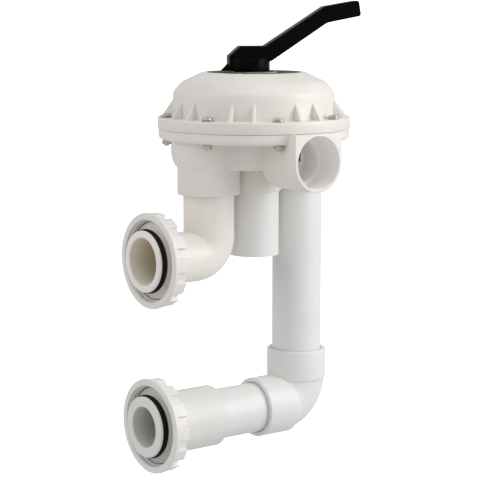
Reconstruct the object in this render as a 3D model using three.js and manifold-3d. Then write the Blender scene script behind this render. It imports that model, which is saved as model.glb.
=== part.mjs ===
// Three way pool filter valve with a drop elbow, a lower pipe run and two unions.
// Millimetres, +Z up. The origin is the centre of the upper union's mouth, and both
// unions face -X, towards the filter tank that holds the valve.

import * as THREE from 'three';
import { mergeVertices } from 'three/addons/utils/BufferGeometryUtils.js';
import Module from 'manifold-3d';

const wasm = await Module();
wasm.setup();

// ---- Driving dimensions ------------------------------------------------------------

const GAP = 0.3; // clearance between pieces that touch

const REACH = 154; // union mouth to the valve's axis
const UNION_PITCH = 195.5; // upper union's centre to the lower one's
const PARTING_Z = 147; // joint between cover and body
const PORT_PITCH = 67; // valve axis to each outer down port

const PIPE_R = 30.15; // 2 inch pipe, outside
const PIPE_BORE_R = 26.2;
const SOCKET_R = PIPE_R + GAP;

// Valve heights are measured from the parting joint.
const BODY_FLANGE_R = 114;
const BODY_FLANGE_BOTTOM = -12.7;
const FLANGE_UNDERSIDE = BODY_FLANGE_BOTTOM - GAP; // where the pieces below it end
const DRUM_R = 70;
const DRUM_BOTTOM = -45;
const DRUM_FLOOR = -37;
const CAVITY_R = 65.5;
const ROTOR_BORE_R = 86.5;
const SEAT_R = 80; // inner edge of the ledge that carries the gasket
const SEAT_Z = -8; // top of the webs and of that ledge
const SEAT_FLOOR = -10.4;
const BOSS_BOTTOM = -75;
const SOCKET_STOP = -40;
const OUTER_BOSS_R = 37;
const OUTER_SLEEVE_R = 38.6; // the outer bosses beside the drum
const BOSS_FILLET = 28;
const CENTRE_BOSS_R = 33;
const FRONT_MOUTH = 122; // valve axis to the mouth of the front port
const BACK_MOUTH = 124.5;
const PORT_Z = -33;
const PORT_R = 34.6;
const PORT_START = 58;
const PORT_END_WALL = 3.7;
const PORT_SHOULDER = 84; // the port fills the flange's notch from here
const PORT_STOP = 88;
const PORT_BORE_R = 25.5;

const COVER_FLANGE_R = 115;
const COVER_FLANGE_TOP = 14;
const COVER_TOP = 66.5;
const LABEL_FLOOR = 65.4; // the label lies in a shallow ring round the stem
const RIB_COUNT = 8; // pairs of ribs, one pair between every two bolts
const RIB_HALF_STEP = THREE.MathUtils.degToRad(7.5);

const BOLT_COUNT = 8;
const BOLT_CIRCLE_R = 106.5;
const BOLT_R = 3;
const BOLT_HOLE_R = 3.4;

const STEM_R = 11;
const STEM_TOP = 87;
const PIN_Z = 82;
const PIN_R = 3.5;
const ROTOR_R = 84;
const ROTOR_BOTTOM = -4.6;
const ROTOR_TOP = 9;
const HUB_BOTTOM = 67.9;
const HUB_R = 25;
const HUB_OFFSET = -6; // the hub's centre sits behind the stem
const HANDLE_WIDTH = 30;
const HANDLE_HEADING = THREE.MathUtils.degToRad(-30);

const NUT_DEPTH = 20;
const NUT_RING_R = 56;
const NUT_BODY_R = 50.5;
const NUT_THREAD_R = 47.5;
const NUT_LIP_R = 38;
const LUG_COUNT = 12;
const LUG_R = 54.5;
const TAIL_R = 36; // boss that carries the O-ring
const TAIL_NOSE = -8;
const TAIL_GROOVE = -4.6; // the O-ring sits from here to the shoulder
const TAIL_SHOULDER = 3.2;
const TAIL_GROOVE_R = 30.1;
const TAIL_SEAL_SECTION = 3.6;
const TAIL_FLANGE_R = 45;
const TAIL_FLANGE = 9; // front face of the flange, deep inside the nut
const TAIL_FLANGE_BACK = 14.5;

const ELBOW_REACH = 67; // lower elbow's centre to each of its rims
const ELBOW_SOCKET_R = 36.3;
const ELBOW_BODY_R = 34.6;
const ELBOW_BEND_R = 34;
const SOCKET_DEPTH = 36;
const STREET_BEND_R = 22.5;
const TAILPIECE_END = 90;

// Sides of a round piece: small bores and bosses, pipes, and the valve's large rounds.
const SMALL = 12;
const COARSE = 16;
const MEDIUM = 24;
const FINE = 32;

// ---- Shape helpers -----------------------------------------------------------------

const vec = (x, y) => new THREE.Vector2(x, y);

// Turns any closed geometry into an indexed one whose faces point out.
function clean(geometry) {
  const bare = geometry.clone();
  bare.deleteAttribute('normal');
  bare.deleteAttribute('uv');
  const merged = mergeVertices(bare, 1e-3);
  const corner = merged.index.array;
  const kept = [];
  for (let i = 0; i < corner.length; i += 3) {
    const [a, b, c] = [corner[i], corner[i + 1], corner[i + 2]];
    if (a !== b && b !== c && c !== a) kept.push(a, b, c);
  }
  if (volume(merged.attributes.position, kept) < 0) kept.reverse();
  merged.setIndex(kept);
  return merged;
}

function volume(position, corners) {
  const p = [0, 1, 2].map(() => new THREE.Vector3());
  let sum = 0;
  for (let i = 0; i < corners.length; i += 3) {
    p.forEach((v, k) => v.fromBufferAttribute(position, corners[i + k]));
    sum += p[0].dot(p[1].cross(p[2]));
  }
  return sum;
}

function solid(geometry) {
  const closed = clean(geometry);
  return new wasm.Manifold(new wasm.Mesh({
    numProp: 3,
    vertProperties: new Float32Array(closed.attributes.position.array),
    triVerts: new Uint32Array(closed.index.array),
  }));
}

function shell(body) {
  const mesh = body.getMesh();
  const geometry = new THREE.BufferGeometry();
  geometry.setAttribute('position', new THREE.BufferAttribute(mesh.vertProperties, 3));
  geometry.setIndex(new THREE.BufferAttribute(mesh.triVerts, 1));
  return geometry;
}

const join = (...parts) => parts.map(solid).reduce((sum, part) => sum.add(part));
const carve = (body, ...cuts) => cuts.map(solid).reduce((rest, cut) => rest.subtract(cut), body);

// A profile of [radius, height] points turned about Z. An open profile starts and
// ends on the axis; a ring's profile is closed by repeating its first point.
function turned(profile, segments = MEDIUM) {
  const points = profile.map(([r, z]) => vec(r, z));
  return new THREE.LatheGeometry(points, segments).rotateX(Math.PI / 2);
}

function ring(profile, segments) {
  return turned([...profile, profile[0]], segments);
}

function rod(radius, low, high, segments = MEDIUM) {
  return turned([[0, low], [radius, low], [radius, high], [0, high]], segments);
}

function tube(outer, inner, low, high, segments = MEDIUM) {
  return ring([[inner, low], [outer, low], [outer, high], [inner, high]], segments);
}

function oRing(radius, section, z, segments, sides = 5) {
  return new THREE.TorusGeometry(radius, section, sides, segments).translate(0, 0, z);
}

function block(low, high) {
  const size = high.map((value, i) => value - low[i]);
  const middle = high.map((value, i) => (value + low[i]) / 2);
  return new THREE.BoxGeometry(...size).translate(...middle);
}

// An outline in the XZ plane, extruded along Y on both sides of y = 0.
function slab(points, width) {
  const shape = new THREE.Shape(points.map(([x, z]) => vec(x, z)));
  return new THREE.ExtrudeGeometry(shape, { depth: width, bevelEnabled: false })
    .rotateX(Math.PI / 2)
    .translate(0, width / 2, 0);
}

const alongX = (geometry) => geometry.rotateY(Math.PI / 2);
const alongY = (geometry) => geometry.rotateX(-Math.PI / 2);

// A quarter bend from a leg along -X to a leg along +Z, whose axes cross at the origin.
function bend(radius, bendR, segments = COARSE) {
  const start = Math.max(0, bendR - radius);
  const points = [];
  const steps = segments / 2;
  const first = bendR < radius ? Math.acos(-bendR / radius) : Math.PI;
  for (let i = 0; i <= steps; i += 1) {
    const angle = first * (1 - (2 * i) / steps);
    points.push([Math.max(0, bendR + radius * Math.cos(angle)), radius * Math.sin(angle)]);
  }
  const wheel = start > 0 ? turned([...points.slice(0, -1), points[0]], FINE) : turned(points, FINE);
  const quarter = block([0, -radius - 1, -bendR - radius - 1], [bendR + radius + 1, radius + 1, 0]);
  const sector = solid(wheel.rotateX(Math.PI / 2)).intersect(solid(quarter));
  return shell(sector.translate([-bendR, 0, bendR]));
}

const around = (count, make) => Array.from({ length: count }, (_, i) => make((i / count) * 2 * Math.PI, i));
const onCircle = (geometry, radius, angle) => geometry.translate(radius, 0, 0).rotateZ(angle);

// ---- Materials ---------------------------------------------------------------------

const surface = (color, roughness, metalness = 0) =>
  new THREE.MeshStandardMaterial({ color, roughness, metalness, flatShading: true });

const finish = {
  white: () => surface('#eeede9', 0.42),
  cream: () => surface('#efebe3', 0.4),
  pipe: () => surface('#e9ebec', 0.45),
  handle: () => surface('#141416', 0.38),
  rubber: () => surface('#0d0d0e', 0.7),
  label: () => surface('#4a4038', 0.5),
  steel: () => surface('#b9b6ae', 0.32, 1),
  nylon: () => surface('#26262a', 0.5),
};

const valve = new THREE.Group();
valve.position.set(REACH, 0, PARTING_Z);
const object = new THREE.Group();
object.add(valve);

function place(parent, name, geometry, material) {
  const mesh = new THREE.Mesh(clean(geometry), material());
  mesh.name = name;
  parent.add(mesh);
  return mesh;
}

// ---- Valve body ----------------------------------------------------------------------

// Round below and square above, so that its top lies flush with the parting joint.
function portArch(near, far) {
  const points = [[PORT_R, -GAP / 2], [-PORT_R, -GAP / 2]];
  const steps = 14;
  for (let i = 0; i <= steps; i += 1) {
    const angle = Math.PI + (i / steps) * Math.PI;
    points.push([PORT_R * Math.cos(angle), PORT_Z + PORT_R * Math.sin(angle)]);
  }
  return slab(points, far - near).translate(0, (near + far) / 2, 0);
}

const rotorBore = () => rod(ROTOR_BORE_R, SEAT_Z, 1, FINE);
const outerPorts = [-PORT_PITCH, PORT_PITCH];
const bothSides = [1, -1];

// The round chamber below the rotor, the ledge for its gasket and the rotor's own bore.
const chamber = join(
  rod(CAVITY_R, DRUM_FLOOR, 1, FINE), rod(SEAT_R, SEAT_FLOOR, 1, FINE), rotorBore(),
);

// The ways from the chamber down into the two outer bosses.
const risers = outerPorts
  .map((x) => solid(rod(PIPE_BORE_R, DRUM_FLOOR, 1, COARSE).translate(x, 0, 0)))
  .reduce((sum, riser) => sum.add(riser))
  .intersect(solid(rod(SEAT_R, DRUM_FLOOR, 1, FINE)));

const downSockets = join(...[0, ...outerPorts].flatMap((x) => [
  rod(SOCKET_R, BOSS_BOTTOM - 1, SOCKET_STOP).translate(x, 0, 0),
  rod(PIPE_BORE_R, SOCKET_STOP - 1, DRUM_FLOOR + 1, COARSE).translate(x, 0, 0),
]));

// The ways from the chamber into the front and back ports, clear of the gasket's ledge.
const necks = join(...bothSides.map((side) =>
  alongY(rod(PORT_BORE_R, PORT_START + PORT_END_WALL, PORT_STOP + 1, COARSE))
    .scale(1, side, 1).translate(0, 0, PORT_Z)))
  .intersect(solid(block([-PORT_R, -100, -100], [PORT_R, 100, SEAT_Z - 1.5])));

// Rounds the corner between an outer boss and the drum.
function bossFillet(x, side) {
  const near = OUTER_SLEEVE_R + BOSS_FILLET;
  const far = DRUM_R + BOSS_FILLET;
  const along = (PORT_PITCH ** 2 + far ** 2 - near ** 2) / (2 * PORT_PITCH);
  const centre = vec(along, Math.sqrt(far ** 2 - along ** 2));
  const atDrum = centre.clone().multiplyScalar((DRUM_R - 1) / far);
  const atBoss = vec(PORT_PITCH, 0).lerp(centre, (OUTER_SLEEVE_R - 1) / near);
  const corner = new THREE.Shape([vec(PORT_PITCH - 12, 20), atBoss, centre, atDrum]);
  const post = new THREE.ExtrudeGeometry(corner, { depth: FLANGE_UNDERSIDE - DRUM_BOTTOM, bevelEnabled: false });
  const round = rod(BOSS_FILLET, -1, FLANGE_UNDERSIDE - DRUM_BOTTOM + 1, FINE).translate(centre.x, centre.y, 0);
  return shell(carve(solid(post), round)).scale(Math.sign(x), side, 1).translate(0, 0, DRUM_BOTTOM);
}

// The drum with its floor and the upper half of the two outer bosses.
function drum() {
  const sleeve = turned([
    [0, DRUM_BOTTOM], [OUTER_BOSS_R, DRUM_BOTTOM], [OUTER_SLEEVE_R, DRUM_BOTTOM + 6],
    [OUTER_SLEEVE_R, FLANGE_UNDERSIDE], [0, FLANGE_UNDERSIDE],
  ]);
  const outside = join(
    rod(DRUM_R, DRUM_BOTTOM, SEAT_FLOOR, FINE),
    ...outerPorts.map((x) => sleeve.clone().translate(x, 0, 0)),
    ...outerPorts.flatMap((x) => bothSides.map((side) => bossFillet(x, side))),
  );
  return shell(outside.subtract(chamber).subtract(risers).subtract(downSockets).subtract(necks));
}

// The bolted flange, with a notch on each side for the port that runs out through it.
function bodyFlange() {
  const plate = ring([
    [DRUM_R + GAP, BODY_FLANGE_BOTTOM], [BODY_FLANGE_R - 5.5, BODY_FLANGE_BOTTOM],
    [BODY_FLANGE_R, -7.5], [BODY_FLANGE_R, -GAP / 2], [DRUM_R + GAP, -GAP / 2],
  ], FINE);
  const notches = bothSides.map((side) =>
    block([-PORT_R - GAP, PORT_SHOULDER - GAP, -40], [PORT_R + GAP, 130, 1]).scale(1, side, 1));
  const holes = around(BOLT_COUNT, (angle) =>
    onCircle(rod(BOLT_HOLE_R, BODY_FLANGE_BOTTOM - 1, 1, SMALL), BOLT_CIRCLE_R, angle + Math.PI / 8));
  return shell(carve(solid(plate), ...notches, ...holes).subtract(chamber).subtract(risers));
}

// The three sockets that hang from the drum's floor.
function downPorts() {
  const outside = join(
    rod(CENTRE_BOSS_R, BOSS_BOTTOM, DRUM_BOTTOM - GAP),
    ...outerPorts.map((x) => rod(OUTER_BOSS_R, BOSS_BOTTOM, DRUM_BOTTOM - GAP).translate(x, 0, 0)),
  );
  return shell(outside.subtract(downSockets));
}

// The back port, from the drum to its mouth. The front one is the same, turned round.
function port(mouth) {
  const underFlange = block([-PORT_R - 1, 0, FLANGE_UNDERSIDE], [PORT_R + 1, PORT_SHOULDER, 1]);
  const arch = carve(
    solid(portArch(PORT_START, mouth)),
    rod(DRUM_R + GAP, DRUM_BOTTOM - GAP, 1, FINE),
    underFlange,
    alongY(rod(SOCKET_R, PORT_STOP, mouth + 1)).translate(0, 0, PORT_Z),
  );
  return shell(arch.subtract(chamber).subtract(necks));
}

// Two crossed webs and a round well part the chamber and carry the gasket.
function webs() {
  const cross = [0, 1].flatMap((k) => [
    block([GAP - CAVITY_R, -2, DRUM_FLOOR + GAP], [CAVITY_R - GAP, 2, SEAT_Z]),
    block([GAP - SEAT_R, -2, SEAT_FLOOR + GAP], [SEAT_R - GAP, 2, SEAT_Z]),
  ].map((web) => web.rotateZ(Math.PI / 4 + (k * Math.PI) / 2)));
  const well = rod(CENTRE_BOSS_R - 1, DRUM_FLOOR + GAP, SEAT_Z, COARSE);
  return shell(carve(join(...cross, well), rod(PIPE_BORE_R + 1, DRUM_FLOOR, 1, COARSE)));
}

place(valve, 'body', drum(), finish.white);
place(valve, 'body_flange', bodyFlange(), finish.white);
place(valve, 'down_ports', downPorts(), finish.white);
place(valve, 'front_port', port(FRONT_MOUTH).rotateZ(Math.PI), finish.white);
place(valve, 'back_port', port(BACK_MOUTH), finish.white);
place(valve, 'chamber_webs', webs(), finish.white);
place(valve, 'cover_o_ring', oRing(96, 1.7, 1.9, FINE), finish.rubber);

// ---- Gasket, rotor, spring and stem seals --------------------------------------------

function spiderGasket() {
  const low = SEAT_Z + GAP;
  const high = ROTOR_BOTTOM - GAP;
  const rim = tube(ROTOR_BORE_R - GAP, SEAT_R, low, high, FINE);
  const hub = tube(CENTRE_BOSS_R - 1, PIPE_BORE_R + 1, low, high, COARSE);
  const spokes = [0, 1].map((k) => block([-81, -2, low], [81, 2, high])
    .rotateZ(Math.PI / 4 + (k * Math.PI) / 2));
  return shell(carve(join(rim, hub, ...spokes), rod(PIPE_BORE_R + 1, low - 1, high + 1, COARSE)));
}

// A sector of a disc, for the rotor's pockets.
function wedge(inner, outer, halfAngle, low, high) {
  const steps = 4;
  const points = [];
  for (let i = 0; i <= steps; i += 1) {
    const angle = halfAngle * ((2 * i) / steps - 1);
    points.push(vec(outer * Math.cos(angle), outer * Math.sin(angle)));
  }
  points.push(vec(inner * Math.cos(halfAngle), inner * Math.sin(halfAngle)));
  points.push(vec(inner * Math.cos(halfAngle), -inner * Math.sin(halfAngle)));
  return new THREE.ExtrudeGeometry(new THREE.Shape(points), { depth: high - low, bevelEnabled: false })
    .translate(0, 0, low);
}

function rotor() {
  const turning = turned([
    [0, ROTOR_BOTTOM], [ROTOR_R, ROTOR_BOTTOM], [ROTOR_R, 3], [ROTOR_R - 4, ROTOR_TOP],
    [20, ROTOR_TOP], [18, 14], [STEM_R, 20], [STEM_R, STEM_TOP - 1.5],
    [STEM_R - 1.5, STEM_TOP], [0, STEM_TOP],
  ], MEDIUM);
  const inlet = wedge(38, 78, 0.5, ROTOR_BOTTOM - 1, ROTOR_TOP + 1).rotateZ(-Math.PI / 2);
  const link = wedge(12, 78, 0.5, ROTOR_BOTTOM - 1, 4).rotateZ(Math.PI);
  const pinHole = alongY(rod(PIN_R + GAP, -20, 20, SMALL)).translate(0, 0, PIN_Z).rotateZ(HANDLE_HEADING);
  const grooves = [40, 54].map((z) => tube(STEM_R + 2, STEM_R - 1.6, z - 1.5, z + 1.5, COARSE));
  return shell(carve(solid(turning), inlet, link, pinHole, ...grooves));
}

// A closed wire helix about Z.
function coil(radius, wire, low, high, turns) {
  class Helix extends THREE.Curve {
    getPoint(t, target = new THREE.Vector3()) {
      const angle = 2 * Math.PI * turns * t;
      return target.set(radius * Math.cos(angle), radius * Math.sin(angle), low + (high - low) * t);
    }
  }
  const section = new THREE.Shape(around(6, (angle) => vec(wire * Math.cos(angle), wire * Math.sin(angle))));
  return new THREE.ExtrudeGeometry(section, {
    steps: turns * 10, bevelEnabled: false, extrudePath: new Helix(),
  });
}

const SPRING_LOW = ROTOR_TOP + 2.4;
const SPRING_HIGH = 60.2;
const SPRING_WIRE_R = 2.1;

place(valve, 'spider_gasket', spiderGasket(), finish.rubber);
place(valve, 'rotor', rotor(), finish.white);
place(valve, 'spring_washer', tube(31, 22, ROTOR_TOP + GAP, SPRING_LOW - GAP, COARSE), finish.steel);
place(valve, 'spring', coil(26.5, SPRING_WIRE_R, SPRING_LOW + SPRING_WIRE_R + GAP,
  SPRING_HIGH - SPRING_WIRE_R - GAP, 5), finish.steel);
[40, 54].forEach((z, i) => {
  place(valve, `stem_o_ring_${i + 1}`, oRing(STEM_R - 0.65, 0.8, z, COARSE), finish.rubber);
});

// ---- Cover and label -------------------------------------------------------------------

const DOME = [[97, COVER_FLANGE_TOP], [96, 36], [93.6, 44], [89, 50], [83, 56.2], [62, COVER_TOP]];

function coverRib(angle) {
  const width = 4;
  return slab([[110.5, COVER_FLANGE_TOP - 0.5], [96, 34.5], [92, 35], [92, COVER_FLANGE_TOP - 0.5]], width)
    .rotateZ(angle);
}

function cover() {
  const skin = ring([
    [88, GAP / 2], [COVER_FLANGE_R - 1, GAP / 2], [COVER_FLANGE_R, 1.2],
    [COVER_FLANGE_R, COVER_FLANGE_TOP - 2], [COVER_FLANGE_R - 2, COVER_FLANGE_TOP],
    ...DOME,
    [57.5, COVER_TOP], [57.5, LABEL_FLOOR], [28, LABEL_FLOOR], [28, COVER_TOP],
    [STEM_R + GAP, COVER_TOP], [STEM_R + GAP, 32],
    [18.5, 32], [19.5, SPRING_HIGH + GAP], [57, SPRING_HIGH + GAP], [82, 50], [90.5, 36], [91, 8],
  ], FINE);
  const ribs = around(RIB_COUNT, (angle) => [angle - RIB_HALF_STEP, angle + RIB_HALF_STEP]).flat();
  const dome = join(skin, ...ribs.map(coverRib));
  const gland = tube(98.6, 93.4, -1, 3.6, FINE);
  const holes = around(BOLT_COUNT, (angle) =>
    onCircle(rod(BOLT_HOLE_R, -1, COVER_FLANGE_TOP + 1, SMALL), BOLT_CIRCLE_R, angle + Math.PI / 8));
  return shell(carve(dome, gland, ...holes));
}

place(valve, 'cover', cover(), finish.white);
place(valve, 'label_plate', tube(57, 28.5, LABEL_FLOOR + GAP, COVER_TOP - 0.1, FINE), finish.label);

// ---- Bolts, washers and nuts ------------------------------------------------------------

const WASHER_TOP = COVER_FLANGE_TOP + GAP + 1.2;
const HEX_BORE_R = (BOLT_R + GAP) / Math.cos(Math.PI / 6); // six-sided, clear of the bolt

function bolt() {
  const under = WASHER_TOP + GAP;
  return turned([
    [0, -21], [BOLT_R, -21], [BOLT_R, under], [6, under],
    [6, under + 2.4], [4.4, under + 4], [0, under + 4],
  ], SMALL);
}

around(BOLT_COUNT, (angle, i) => {
  const at = angle + Math.PI / 8;
  const number = i + 1;
  place(valve, `bolt_${number}`, onCircle(bolt(), BOLT_CIRCLE_R, at), finish.steel);
  const washer = tube(7, BOLT_R + GAP, COVER_FLANGE_TOP + GAP, WASHER_TOP, SMALL);
  place(valve, `washer_${number}`, onCircle(washer, BOLT_CIRCLE_R, at), finish.steel);
  const hexNut = tube(5.7, HEX_BORE_R, BODY_FLANGE_BOTTOM - 5.3, BODY_FLANGE_BOTTOM - GAP, 6);
  place(valve, `hex_nut_${number}`, onCircle(hexNut, BOLT_CIRCLE_R, at), finish.steel);
});

// ---- Handle, pin and slip washer ----------------------------------------------------------

function handle() {
  const arm = slab([
    [-31, HUB_BOTTOM + 1.5], [-31, 85.4], [-17.6, 97.2], [12, 97.2], [83, 143.6], [123.5, 150.7],
    [126.5, 132.3], [85.8, 124.2], [20, 80], [-12, HUB_BOTTOM + 1.5],
  ], HANDLE_WIDTH);
  const hub = rod(HUB_R, HUB_BOTTOM, 83.5).translate(HUB_OFFSET, 0, 0);
  const pointer = slab([[-20, 80], [-31, 77], [-40, HUB_BOTTOM], [-20, HUB_BOTTOM]], 8);
  const slot = block([-15.3, -STEM_R - 0.5, HUB_BOTTOM - 1], [15.3, STEM_R + 0.5, 91]);
  const pinHole = alongY(rod(PIN_R + GAP, -40, 40, SMALL)).translate(0, 0, PIN_Z);
  return shell(carve(join(arm, hub, pointer), slot, pinHole)).rotateZ(HANDLE_HEADING);
}

const slipWasher = tube(25, STEM_R + GAP, COVER_TOP + GAP, HUB_BOTTOM - GAP, COARSE);
const pin = alongY(rod(PIN_R, -24, 24, SMALL)).translate(0, 0, PIN_Z).rotateZ(HANDLE_HEADING);
place(valve, 'slip_washer', slipWasher, finish.nylon);
place(valve, 'handle_pin', pin, finish.nylon);
place(valve, 'handle', handle(), finish.handle);

// ---- Union pieces ---------------------------------------------------------------------------

function unionNut() {
  const skin = ring([
    [NUT_THREAD_R, 0], [NUT_RING_R - 1.5, 0], [NUT_RING_R, 1.5], [NUT_RING_R, 5.5],
    [NUT_BODY_R, 6.5], [NUT_BODY_R - 1, NUT_DEPTH], [NUT_LIP_R, NUT_DEPTH],
    [NUT_LIP_R, TAIL_FLANGE_BACK + GAP], [NUT_THREAD_R, TAIL_FLANGE_BACK + GAP],
  ], FINE);
  const lugs = around(LUG_COUNT, (angle) =>
    block([NUT_BODY_R - 3, -8, 4], [LUG_R, 8, NUT_DEPTH - 1]).rotateZ(angle));
  return alongX(shell(join(skin, ...lugs)));
}

// The outside of a tail from its nose to the back of the flange that the nut pulls on.
const tailOutline = (bore) => [
  [bore, TAIL_NOSE], [TAIL_R - 1.5, TAIL_NOSE], [TAIL_R, TAIL_NOSE + 1.5], [TAIL_R, TAIL_GROOVE],
  [TAIL_GROOVE_R, TAIL_GROOVE], [TAIL_GROOVE_R, TAIL_SHOULDER], [TAIL_R, TAIL_SHOULDER],
  [TAIL_R, TAIL_FLANGE], [TAIL_FLANGE_R, TAIL_FLANGE],
  [TAIL_FLANGE_R, TAIL_FLANGE_BACK],
];

function addUnion(name, height) {
  const run = new THREE.Group();
  run.position.z = height;
  object.add(run);
  place(run, `${name}_union_nut`, unionNut(), finish.white);
  const sealRadius = TAIL_GROOVE_R + GAP + TAIL_SEAL_SECTION;
  const seal = alongX(oRing(sealRadius, TAIL_SEAL_SECTION, (TAIL_GROOVE + TAIL_SHOULDER) / 2, MEDIUM, 8));
  place(run, `${name}_union_o_ring`, seal, finish.rubber);
  return run;
}

// ---- Upper run: one street elbow from the left port to the upper union -----------------------

const upper = addUnion('upper', 0);
const STREET_X = REACH - PORT_PITCH;
const SPIGOT_TOP = PARTING_Z + SOCKET_STOP - GAP;
const UPPER_TAIL_END = 20;

// The tail end of the elbow's moulding, a straight tube that carries the flange.
function upperTail() {
  return alongX(ring([
    ...tailOutline(28), [PIPE_R, TAIL_FLANGE_BACK], [PIPE_R, UPPER_TAIL_END], [28, UPPER_TAIL_END],
  ], MEDIUM));
}

function streetElbow() {
  const leg = STREET_X - STREET_BEND_R + 0.5;
  const outside = join(
    alongX(rod(PIPE_R, UPPER_TAIL_END + GAP, leg)),
    bend(PIPE_R, STREET_BEND_R, MEDIUM).translate(STREET_X, 0, 0),
    rod(PIPE_R, STREET_BEND_R - 0.5, SPIGOT_TOP).translate(STREET_X, 0, 0),
  );
  const bore = join(
    alongX(rod(25, UPPER_TAIL_END, STREET_X - 30, COARSE)),
    bend(25, 30, COARSE).translate(STREET_X, 0, 0),
    rod(25, 30, SPIGOT_TOP + 1, COARSE).translate(STREET_X, 0, 0),
  );
  return shell(outside.subtract(bore));
}

place(upper, 'upper_tail', upperTail(), finish.cream);
place(upper, 'street_elbow', streetElbow(), finish.cream);

// ---- Centre port tube and the long drop pipe --------------------------------------------------

const TUBE_BOTTOM = -152.5;
const pipeBetween = (low, high) => tube(PIPE_R, PIPE_BORE_R, low, high, MEDIUM);
place(valve, 'centre_tube', pipeBetween(TUBE_BOTTOM, SOCKET_STOP - GAP), finish.pipe);

const LOWER_Z = -UNION_PITCH;
const DROP_X = REACH + PORT_PITCH;
const dropPipe = pipeBetween(LOWER_Z + ELBOW_REACH - SOCKET_DEPTH + GAP, SPIGOT_TOP);
place(object, 'drop_pipe', dropPipe.translate(DROP_X, 0, 0), finish.pipe);

// ---- Lower run: elbow, short pipe and tailpiece ------------------------------------------------

const lower = addUnion('lower', LOWER_Z);

// One socket. Its thick sleeve runs from the rim to a shoulder near the bend.
function elbowLeg(shoulder, shoulderR) {
  const sleeve = ELBOW_REACH - SOCKET_DEPTH;
  return {
    outside: turned([
      [0, shoulder - 6], [shoulderR, shoulder - 6], [ELBOW_SOCKET_R, shoulder],
      [ELBOW_SOCKET_R, ELBOW_REACH - 1], [ELBOW_SOCKET_R - 1, ELBOW_REACH], [0, ELBOW_REACH],
    ], MEDIUM),
    inside: turned([
      [0, ELBOW_BEND_R - 6], [PIPE_BORE_R, ELBOW_BEND_R - 6], [PIPE_BORE_R, sleeve],
      [SOCKET_R, sleeve], [SOCKET_R, ELBOW_REACH + 1], [0, ELBOW_REACH + 1],
    ], MEDIUM),
  };
}

function lowerElbow() {
  const upright = elbowLeg(31, ELBOW_BODY_R);
  const level = elbowLeg(20, 32);
  const boreBend = ELBOW_BEND_R - 5;
  const outside = join(
    upright.outside, level.outside.rotateY(-Math.PI / 2),
    bend(ELBOW_BODY_R, ELBOW_BEND_R, MEDIUM),
  );
  const bore = join(
    upright.inside, level.inside.rotateY(-Math.PI / 2), bend(PIPE_BORE_R, boreBend, MEDIUM),
  );
  return shell(outside.subtract(bore)).translate(DROP_X, 0, 0);
}

const tailSocket = TAILPIECE_END + 2 - SOCKET_DEPTH;

function lowerTailpiece() {
  return alongX(ring([
    ...tailOutline(24), [36.5, TAIL_FLANGE_BACK], [36.5, TAILPIECE_END - 2.5],
    [SOCKET_R + 1.5, TAILPIECE_END + 2], [SOCKET_R, TAILPIECE_END + 2],
    [SOCKET_R, tailSocket], [24, tailSocket],
  ], MEDIUM));
}

const shortPipe = pipeBetween(tailSocket + GAP, DROP_X - ELBOW_REACH + SOCKET_DEPTH - GAP);
place(lower, 'lower_elbow', lowerElbow(), finish.pipe);
place(lower, 'short_pipe', alongX(shortPipe), finish.pipe);
place(lower, 'lower_tailpiece', lowerTailpiece(), finish.pipe);

export default object;
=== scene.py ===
"""Looks for the three way valve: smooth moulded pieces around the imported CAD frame.

Shapes are built in millimetres, in the valve's or a union's own frame, and are placed
in metres where the frame says.
"""

import math

import bmesh
import bpy
from mathutils import Matrix, Vector


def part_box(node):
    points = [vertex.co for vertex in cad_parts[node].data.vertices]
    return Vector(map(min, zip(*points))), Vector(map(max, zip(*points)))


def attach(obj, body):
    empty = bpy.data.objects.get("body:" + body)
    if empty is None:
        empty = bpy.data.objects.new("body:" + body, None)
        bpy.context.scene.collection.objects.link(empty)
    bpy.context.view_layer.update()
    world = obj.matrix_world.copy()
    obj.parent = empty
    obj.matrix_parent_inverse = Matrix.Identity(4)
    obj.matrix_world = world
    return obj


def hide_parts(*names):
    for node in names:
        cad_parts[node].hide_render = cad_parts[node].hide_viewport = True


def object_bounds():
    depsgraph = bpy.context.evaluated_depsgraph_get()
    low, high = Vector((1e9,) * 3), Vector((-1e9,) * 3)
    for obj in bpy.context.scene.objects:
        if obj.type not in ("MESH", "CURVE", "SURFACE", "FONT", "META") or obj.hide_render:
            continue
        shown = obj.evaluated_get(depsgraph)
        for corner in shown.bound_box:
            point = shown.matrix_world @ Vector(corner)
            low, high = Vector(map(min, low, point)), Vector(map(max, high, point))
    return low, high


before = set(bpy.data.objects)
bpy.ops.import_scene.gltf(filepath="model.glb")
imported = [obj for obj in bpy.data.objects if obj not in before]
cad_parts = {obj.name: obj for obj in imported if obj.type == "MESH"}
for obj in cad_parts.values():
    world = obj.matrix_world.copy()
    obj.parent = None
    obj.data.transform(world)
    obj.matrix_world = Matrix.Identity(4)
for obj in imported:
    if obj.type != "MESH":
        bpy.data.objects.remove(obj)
cad_low, cad_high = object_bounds()

# ---- Places and sizes, from the frame ------------------------------------------------


def mm_box(node):
    """The low and high corners of a CAD node's box, in millimetres."""
    low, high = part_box(node)
    return Vector(low) * 1000, Vector(high) * 1000


cover_low, cover_high = mm_box("cover")
flange_high = mm_box("body_flange")[1]
bosses_low = mm_box("down_ports")[0]
front_low = mm_box("front_port")[0]
back_high = mm_box("back_port")[1]
tube_low, tube_high = mm_box("centre_tube")
drop_low, drop_high = mm_box("drop_pipe")
elbow_low = mm_box("lower_elbow")[0]
street_high = mm_box("street_elbow")[1]
short_low, short_high = mm_box("short_pipe")
tailpiece_high = mm_box("lower_tailpiece")[1]
upper_nut_low, upper_nut_high = mm_box("upper_union_nut")
lower_nut_low, lower_nut_high = mm_box("lower_union_nut")

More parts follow.
